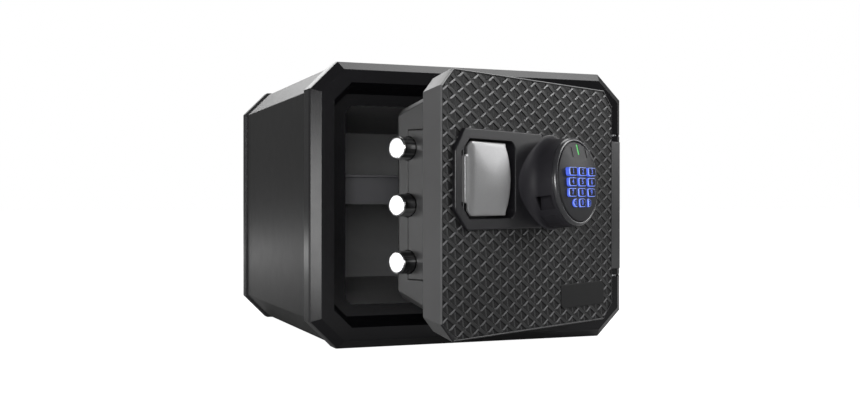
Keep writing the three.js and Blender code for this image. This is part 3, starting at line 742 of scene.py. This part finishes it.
def fillet_ring(out, up):
    """One ring of the pod's flare, which sweeps far out and up on the side next to the handle."""
    ring = []
    for x, y, z in pod_foot(POD_RADIUS):
        left = max(0.0, -x / POD_RX) ** 2.6
        above = max(0.0, -z / POD_RZ)
        lift = FLARE + FLARE_LIFT * max(left, above)
        wide = 1 + (FLARE + FLARE_LEFT * left) * out / POD_RZ
        tall = 1 + (FLARE + FLARE_UP * above) * out / POD_RZ
        ring.append((x * wide, y + lift * up + 0.05, z * tall))
    return ring


def block(x0, x1, z0, z1, near, far):
    """Rings of a plain box, for a cut in the pod's frame."""
    return prism([(x0, z0), (x1, z0), (x1, z1), (x0, z1)], near, far)


def pod_body():
    """A hollow oval barrel with a flared foot, a notch in its side and a slot for the drawer."""
    rings = [fillet_ring(1 - math.sin(a), 1 - math.cos(a)) for a in arc(0, 90, 6)]
    rings += [oval_ring(POD_RADIUS, -7.0), oval_ring(51.4, -6.0), oval_ring(INNER_RADIUS, -6.0),
              pod_foot(INNER_RADIUS)]
    pod = piece("pod_body", rings_to_mesh(rings, wrap=True), POD, "door", ["pod"],
                "pod_housing", 35)
    combine(pod, block(*SIDE_NOTCH), POD)
    combine(pod, block(*DRAWER_SLOT), POD)
    sharpen(pod.data, 35)


def pod_bezel():
    rings = [oval_ring(radius, y) for radius, y in BEZEL_PROFILE]
    piece("pod_bezel", rings_to_mesh(rings, wrap=True), POD, "door", ["bezel"],
          "bezel_ring", 40)


pod_body()
pod_bezel()

# ---- fascia and indicator bars -------------------------------------------
FASCIA_RADII = (46.5, 46.2, 45.4, 43.0, 40.0, 37.0, 34.0, 31.0, 28.5, 26.5, 25.0, 23.5, 22.0, 19.0, 15.0,
                10.0, 5.0, 1.0)
EDGE_DROP = {46.5: 0.9, 46.2: 0.35}
DOME, CLEAR_OF_DOME = 4.5, 9.0
BROW_Z, BROW_HEIGHT, BROW_SLOPE = -23.5, 3.5, math.tan(math.radians(11))
SLIT_X, SLIT_PITCH, SLIT_TALL = 3.0, 14.5, 12.6
SLITS = [(SLIT_X + k * SLIT_PITCH, -43.5 + abs(k) * SLIT_PITCH * 0.24) for k in (-1, 0, 1)]
KEYS = [["1", "2", "3"], ["4", "5", "6"], ["7", "8", "9"], ["left", "0", "right"]]
LAST_ROW = len(KEYS) - 1
KEY_TOPS = (8.0, 6.7, 5.5, 4.9)
KEY_PITCH_X, LAST_PITCH_X, KEY_PITCH_Z, FIRST_KEY_Z = 19.6, 15.0, 12.0, -10.8
KEY_HALF, ROUND_KEY_HALF, KEY_HALF_Z = 7.7, 6.2, 4.8
KEY_GAP = 0.4
DIGIT_SIZE = 7.8


def fascia_height(x, z):
    """Front of the fascia in the pod's frame: a shallow dome with a flat brow that leans back."""
    radius = math.hypot(x * POD_RZ / POD_RX, z)
    dome = DOME * (1 - (radius / POD_RZ) ** 2)
    if z < BROW_Z + 1.2:
        return min(dome, BROW_HEIGHT + (z - BROW_Z) * BROW_SLOPE)
    return dome


def key_centre(row, col):
    pitch = LAST_PITCH_X if row == LAST_ROW else KEY_PITCH_X
    return (col - 1) * pitch, FIRST_KEY_Z + row * KEY_PITCH_Z


def key_outline(row, col, grow):
    """A key's rounded outline; the outer two of the last row are half round on their outer side."""
    x, z = key_centre(row, col)
    tall = KEY_HALF_Z + grow
    if row == LAST_ROW and col != 1:
        side = col - 1
        flat, middle, bulge = 3.4, -2.4, 6
        inner = x - side * (flat + grow)
        points = [(x + side * (middle + (bulge + grow) * math.cos(a)), z + tall * math.sin(a))
                  for a in arc(-90, 90, 15)]
        points += [(inner, z + tall), (inner, z - tall)]
        return soften(points[::side], 1.2, 3)
    wide = (ROUND_KEY_HALF if row == LAST_ROW else KEY_HALF) + grow
    return soften([(x - wide, z - tall), (x + wide, z - tall), (x + wide, z + tall), (x - wide, z + tall)],
                  2.6 + grow, 6)


def slit(x, half, low, high, rounding):
    return soften([(x - half, low), (x + half, low), (x + half, high), (x - half, high)], rounding)


def fascia():
    """The keypad's domed face, hollow behind the keys and cut for the keys and the bars."""
    rings = [oval_ring(FASCIA_RADII[0], -8.9)]
    for radius in FASCIA_RADII:
        drop = EDGE_DROP.get(radius, 0.0)
        rings.append([(x, fascia_height(x, z) - drop, z) for x, _, z in oval_ring(radius, 0.0)])
    plate = piece("fascia", rings_to_mesh(rings), POD, "door", ["fascia"], "keypad_fascia", 12)
    combine(plate, block(*KEY_HOLLOW), POD)
    for row in range(len(KEYS)):
        for col in range(3):
            combine(plate, prism(key_outline(row, col, KEY_GAP), -5.0, CLEAR_OF_DOME), POD)
    for x, low in SLITS:
        combine(plate, prism(slit(x, 1.8, low, low + SLIT_TALL, 0.8), -12.0, CLEAR_OF_DOME), POD)
    sharpen(plate.data, 12)


def indicator_bar(node, x, low, look, slot):
    """A light bar in its slit, with its front just under the fascia's."""
    rim = slit(x, 1.6, low + 0.2, low + SLIT_TALL - 0.2, 0.7)
    rings = [at_depth(rim, -8.8), [(a, fascia_height(a, b) - 0.45, b) for a, b in rim]]
    piece(f"{node}_bar", rings_to_mesh(rings), POD, "door", [look], node)


fascia()
indicator_bar("led_lens_left", *SLITS[0], "lens", "lens")
indicator_bar("led_lens_centre", *SLITS[1], "green", "led_green")
indicator_bar("led_lens_right", *SLITS[2], "lens", "lens")


# ---- keys ----------------------------------------------------------------
def glyph(text, x, z, y, size):
    """A digit as a thin raised mesh, upright on the key's top."""
    curve = bpy.data.curves.new("glyph", "FONT")
    curve.body = text
    curve.size = size
    curve.align_x = "CENTER"
    curve.align_y = "CENTER"
    curve.offset = 0.17
    curve.extrude = 0.12
    curve.resolution_u = 3
    obj = add_object("glyph", curve)
    mesh = bpy.data.meshes.new_from_object(obj.evaluated_get(bpy.context.evaluated_depsgraph_get()))
    bpy.data.objects.remove(obj)
    bpy.data.curves.remove(curve)
    verts = [(x + v.co.x, y + v.co.z, z - v.co.y) for v in mesh.vertices]
    faces = [tuple(p.vertices) for p in mesh.polygons]
    bpy.data.meshes.remove(mesh)
    return verts, faces


def ring_mark(x, z, y):
    """Plain ring mark for the two outer keys of the last row."""
    rings = []
    for radius, height in ((1.15, 0.0), (1.15, 0.14), (1.75, 0.14), (1.75, 0.0)):
        rings.append([(x + radius * math.cos(a), y + height, z + 1.45 * radius * math.sin(a))
                      for a in circle(20)])
    return rings_to_mesh(rings, wrap=True)


def key_cap(label, row, col):
    """A lit key with a dark dished top and its mark; each level is a depth and a growth."""
    blue, dark, digit, rim = range(4)
    top = KEY_TOPS[row]
    levels = ((-7.4, 0.9), (-4.8, 0.9), (-4.7, 0.0), (top - 0.9, 0.0), (top - 0.35, -0.15),
              (top - 0.05, -0.4), (top - 0.02, -0.65), (top - 0.2, -0.75), (top - 0.2, -2.4))
    rings = [at_depth(key_outline(row, col, grow), y) for y, grow in levels]
    verts, faces = rings_to_mesh(rings)
    n = len(rings[0])
    x, z = key_centre(row, col)
    if len(label) == 1:
        mark_verts, mark_faces = glyph(label, x, z, top - 0.2, DIGIT_SIZE)
    else:
        mark_verts, mark_faces = ring_mark(x - (col - 1) * 0.2, z, top - 0.25)
    start = len(verts)
    faces += [tuple(start + i for i in face) for face in mark_faces]
    tags = [blue] * (3 * n) + [rim] * (3 * n) + [dark] * (2 * n) + [blue, dark] + [digit] * len(mark_faces)
    node = f"key_{label}"
    piece(f"{node}_cap", (verts + mark_verts, faces), POD, node,
          ["key_blue", "key_top", "digit", "key_rim"], node, 40, tags)


for row, labels in enumerate(KEYS):
    for col, label in enumerate(labels):
        key_cap(label, row, col)

# ---- handle paddle -------------------------------------------------------
GRIP_S, GRIP_Z = 78.0, 203.6
CROWN_HALF_S, CROWN_HALF_Z, CROWN = 42.0, 41.0, 2.6
GRIP_FRONT = -7.2
TAB_EDGE, TAB_BLEND, TAB_DROP = 46.0, 8.0, 1.1


def grip_outline():
    """The paddle's face: cut corners and a tab on its left, and a bowed free edge on its right."""
    points = [(37, 169), (43, 163), (102.8, 163.2)]
    points += [(111.3 - 8.5 * a * a, GRIP_Z + a * 37) for a in (k / 4 - 1 for k in range(9))]
    points += [(102.8, 244), (43, 244.2), (37, 238.2), (37, 229.6), (32.4, 229.6), (32.4, 177), (37, 177)]
    return soften(points, 2.2, 3)


def crown(s, z):
    """Depth of the paddle's front: crowned in its middle, and lower on its tab."""
    across = max(0.0, 1 - ((z - GRIP_Z) / CROWN_HALF_Z) ** 2)
    along = max(0.0, 1 - ((s - GRIP_S) / CROWN_HALF_S) ** 2)
    tab = max(0.0, min(1.0, (TAB_EDGE - s) / TAB_BLEND))
    return GRIP_FRONT - CROWN * across * along + TAB_DROP * tab * tab * (3 - 2 * tab)


def crowned(outline, share=1.0, drop=0.0):
    """An outline drawn in towards the grip's middle and laid on its crown."""
    ring = [(GRIP_S + (s - GRIP_S) * share, GRIP_Z + (z - GRIP_Z) * share) for s, z in outline]
    return [(s, crown(s, z) + drop, z) for s, z in ring]


def paddle_grip():
    outline = grip_outline()
    rings = [at_depth(inset_poly(outline, 0.5), -3.0), at_depth(outline, -3.6), at_depth(outline, -5.0)]
    for inset, drop in ((0.25, 1.1), (0.8, 0.45), (1.6, 0.12), (2.6, 0.0)):
        rings.append(crowned(inset_poly(outline, inset), drop=drop))
    face = inset_poly(outline, 2.6)
    rings += [crowned(face, 1 - k / 14) for k in range(1, 14)]
    verts, faces = rings_to_mesh(rings)
    painted, edge = range(2)
    sides = 3 * len(outline)
    # The paddle's sides take the darker copy of its paint, painted shade.
    tags = [edge] * sides + [painted] * (len(faces) - sides - 2) + [edge, painted]
    piece("paddle_grip", (verts, faces), LEAF, "handle", ["paddle", "paddle_shaded_edge"], "handle_paddle",
          38, tags)


def paddle_arm():
    """The crank arm behind the paddle, joined to the hub that turns on the pin."""
    pin_s, pin_t, end_t = 35.0, -1.0, 29.56
    lever = [(pin_s + 3.4 * math.cos(a), pin_t + 3.4 * math.sin(a)) for a in arc(200, 340, 12)]
    lever += [(37.0, 4.0), (36.8, 24.0)]
    lever += [(pin_s + 3.0 * math.cos(a), end_t + 3.0 * math.sin(a)) for a in arc(20, 160, 12)]
    lever += [(33.2, 24.0), (33.0, 4.0)]
    rings = [[(s, t, z) for s, t in inset_poly(lever, inset)]
             for z, inset in ((194.0, 0.5), (194.5, 0.0), (203.5, 0.0), (204.0, 0.5))]
    # The arm is in the paddle's darker paint, the one used for painted shade on the paddle's edges.
    arm = piece("paddle_arm", rings_to_mesh(rings), LEAF, "handle", ["paddle_shaded_edge"], None, 30)
    hub = [[(pin_s + radius * math.cos(a), pin_t + radius * math.sin(a), z) for a in circle(28)]
           for z, radius in ((178.5, 2.9), (179.0, 3.4), (227.5, 3.4), (228.0, 2.9))]
    combine(arm, hub, LEAF, "UNION")
    sharpen(arm.data, 30)


paddle_grip()
paddle_arm()

# ---- locking bolts -------------------------------------------------------
# Radius and distance from the bolt's end, for each ring.
BOLT_PROFILE = ((4.0, 0.2), (8.0, 0.1), (10.6, 0.0), (11.4, 0.12), (12.1, 0.5), (12.55, 1.0), (12.7, 1.7),
                (12.7, 30.0), (12.7, 60.9), (12.2, 61.4))


def bolt(node):
    barrel, end = range(2)
    count = 72
    (s0, t0, z0), (_, t1, z1) = local_box(node, LEAF)
    t, z = (t0 + t1) / 2, (z0 + z1) / 2
    rings = [[(s0 + along, t + radius * math.cos(a), z + radius * math.sin(a)) for a in circle(count)]
             for radius, along in BOLT_PROFILE]
    tags = [end] * (2 * count) + [barrel] * (7 * count) + [end, barrel]
    piece(f"{node}_bar", rings_to_mesh(rings), LEAF, "bolt_work", ["chrome", "bolt_end"], node,
          30, tags)


for node in ("bolt_lower", "bolt_middle", "bolt_upper"):
    bolt(node)

# ---- floor, light and camera ---------------------------------------------
WHITE = (1, 1, 1, 1)
FLOOR_HALF = 30
FLOOR_GLOW = 0.04
AMBIENT = 0.14


def pale_floor():
    """A pale floor that the camera sees as plain white and that lights the object a little."""
    n = Nodes("pale_floor")
    n.drive(n.ramp(n.noise(1.3, 3.0), [(0.3, (0.42, 0.42, 0.42, 1)), (0.7, (0.46, 0.46, 0.46, 1))]),
            "Base Color")
    n.fix("Roughness", 0.9)
    n.fix("Emission Color", WHITE)
    seen = n.add("ShaderNodeLightPath")
    strength = n.add("ShaderNodeMapRange")
    strength.inputs["To Min"].default_value = FLOOR_GLOW
    strength.inputs["To Max"].default_value = 1.0
    n.link(seen.outputs["Is Camera Ray"], strength.inputs["Value"])
    n.drive(strength.outputs["Result"], "Emission Strength")
    mesh = bpy.data.meshes.new("floor")
    mesh.from_pydata([(x * FLOOR_HALF, y * FLOOR_HALF, 0) for x, y in ((-1, -1), (1, -1), (1, 1), (-1, 1))],
                     [], [(0, 1, 2, 3)])
    mesh.materials.append(n.mat)
    add_object("floor", mesh)


def studio_world():
    """A white backdrop for the camera, and a weak even light on the object."""
    world = bpy.data.worlds.new("studio")
    bpy.context.scene.world = world
    world.use_nodes = True
    tree = world.node_tree
    backdrop = tree.nodes["Background"]
    backdrop.inputs["Color"].default_value = WHITE
    ambient = tree.nodes.new("ShaderNodeBackground")
    ambient.inputs["Color"].default_value = WHITE
    ambient.inputs["Strength"].default_value = AMBIENT
    seen = tree.nodes.new("ShaderNodeLightPath")
    either = tree.nodes.new("ShaderNodeMixShader")
    tree.links.new(seen.outputs["Is Camera Ray"], either.inputs["Fac"])
    tree.links.new(ambient.outputs["Background"], either.inputs[1])
    tree.links.new(backdrop.outputs["Background"], either.inputs[2])
    tree.links.new(either.outputs["Shader"], tree.nodes["World Output"].inputs["Surface"])


def area(name, place, target, size, power):
    """A soft rectangular light that the camera doesn't see."""
    data = bpy.data.lights.new(name, "AREA")
    data.shape = "RECTANGLE"
    data.size, data.size_y = size
    data.energy = power
    light = add_object(name, data)
    light.location = place
    light.rotation_euler = (Vector(target) - Vector(place)).to_track_quat("-Z", "Y").to_euler()
    light.visible_camera = False


def camera(place, turn, lens):
    """A level camera, turned about the vertical, as the photograph was taken."""
    data = bpy.data.cameras.new("camera")
    data.sensor_width = 36.0
    data.lens = lens
    data.clip_start = 0.05
    view = add_object("camera", data)
    view.location = place
    view.rotation_euler = (math.radians(90), 0, math.radians(turn))
    bpy.context.scene.camera = view


pale_floor()
studio_world()

# Each light's place, the point it faces, its size in metres and its power in watts.
area("key", (1.6, -0.8, 1.6), (0.05, -0.1, 0.2), (1.0, 1.0), 20)
area("right_high", (2.7, -0.45, 0.9), (0.05, -0.1, 0.2), (0.9, 0.7), 11.5)
area("right_back", (1.6, 0.3, 1.2), (0.05, -0.2, 0.2), (0.7, 0.5), 0.5)
area("overhead", (0.65, 0.6, 1.9), (0.1, 0.0, 0.3), (1.2, 0.8), 7)
area("strip_left", (-2.25, -0.1, 0.21), (-0.2, 0, 0.2), (1.4, 0.34), 8.5)
area("rim_back", (-0.2, 3.0, 1.6), (0, 0.1, 0.3), (2.4, 1.0), 18)
area("low_back", (-0.5, 1.5, 0.05), (-0.25, 0.1, 0.05), (0.9, 0.08), 0.22)
area("low_left", (-1.0, -0.2, 0.06), (-0.2, -0.02, 0.06), (0.4, 0.1), 0.5)
area("fill_front", (-0.74, -1.5, 0.34), (0.0, 0.2, 0.18), (0.6, 0.5), 11)
camera((-0.535, -1.2593, 0.1752), -20.91, 44.49)
bpy.context.scene.view_settings.view_transform = "Standard"
